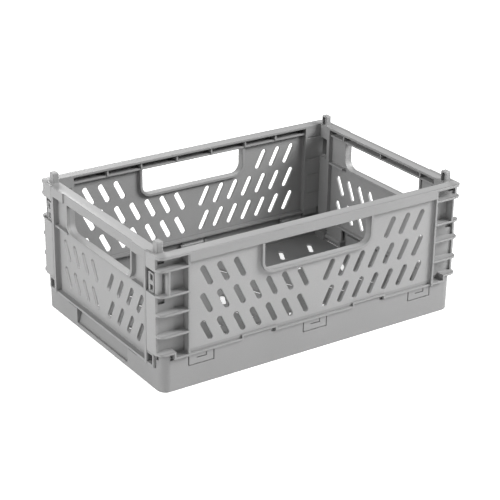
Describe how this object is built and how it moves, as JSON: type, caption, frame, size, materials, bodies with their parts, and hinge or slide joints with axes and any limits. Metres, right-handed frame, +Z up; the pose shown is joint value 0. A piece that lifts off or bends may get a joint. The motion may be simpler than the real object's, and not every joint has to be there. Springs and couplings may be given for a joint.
{
  "type": "folding storage crate",
  "caption": "Folding plastic storage crate with slotted walls, handle openings, latched corners and stacking pegs.",
  "frame": {"origin": "middle of the base's underside", "axes": "+X along the long sides towards the right end, +Y from the front side to the back side, +Z up"},
  "size_m": [0.3, 0.2, 0.127],
  "materials": {
    "base_plastic": "fine moulded texture, satin",
    "panel_plastic": "fine moulded texture, satin"
  },
  "bodies": {
    "base": {"base_tray": "base_plastic"},
    "front": {"front_side": "panel_plastic"},
    "back": {"back_side": "panel_plastic"},
    "left": {"left_end": "panel_plastic"},
    "right": {"right_end": "panel_plastic"},
    "front_left_latch": {"latch_front_left": "panel_plastic"},
    "back_left_latch": {"latch_back_left": "panel_plastic"},
    "front_right_latch": {"latch_front_right": "panel_plastic"},
    "back_right_latch": {"latch_back_right": "panel_plastic"}
  },
  "joints": [
    {"name": "left_fold", "type": "hinge", "parent": "base", "child": "left", "pos_m": [-0.1405, 0, 0.008], "axis": [0, 1, 0], "range_deg": [0, 90]},
    {"name": "right_fold", "type": "hinge", "parent": "base", "child": "right", "pos_m": [0.1405, 0, 0.008], "axis": [0, -1, 0], "range_deg": [0, 90]},
    {"name": "front_play", "type": "hinge", "parent": "base", "child": "front", "pos_m": [0, -0.0943, 0.025], "axis": [-1, 0, 0], "range_deg": [0, 0.15]},
    {"name": "back_play", "type": "hinge", "parent": "base", "child": "back", "pos_m": [0, 0.0943, 0.025], "axis": [1, 0, 0], "range_deg": [0, 0.15]},
    {"name": "front_left_flex", "type": "hinge", "parent": "left", "child": "front_left_latch", "pos_m": [-0.1429, -0.084, 0.086], "axis": [0, 1, 0], "range_deg": [0, 5], "stiffness_Nm_per_rad": 0.25, "springref_deg": -1.15},
    {"name": "back_left_flex", "type": "hinge", "parent": "left", "child": "back_left_latch", "pos_m": [-0.1429, 0.084, 0.086], "axis": [0, 1, 0], "range_deg": [0, 5], "stiffness_Nm_per_rad": 0.25, "springref_deg": -1.15},
    {"name": "front_right_flex", "type": "hinge", "parent": "right", "child": "front_right_latch", "pos_m": [0.1429, -0.084, 0.086], "axis": [0, -1, 0], "range_deg": [0, 5], "stiffness_Nm_per_rad": 0.25, "springref_deg": -1.15},
    {"name": "back_right_flex", "type": "hinge", "parent": "right", "child": "back_right_latch", "pos_m": [0.1429, 0.084, 0.086], "axis": [0, -1, 0], "range_deg": [0, 5], "stiffness_Nm_per_rad": 0.25, "springref_deg": -1.15}
  ]
}
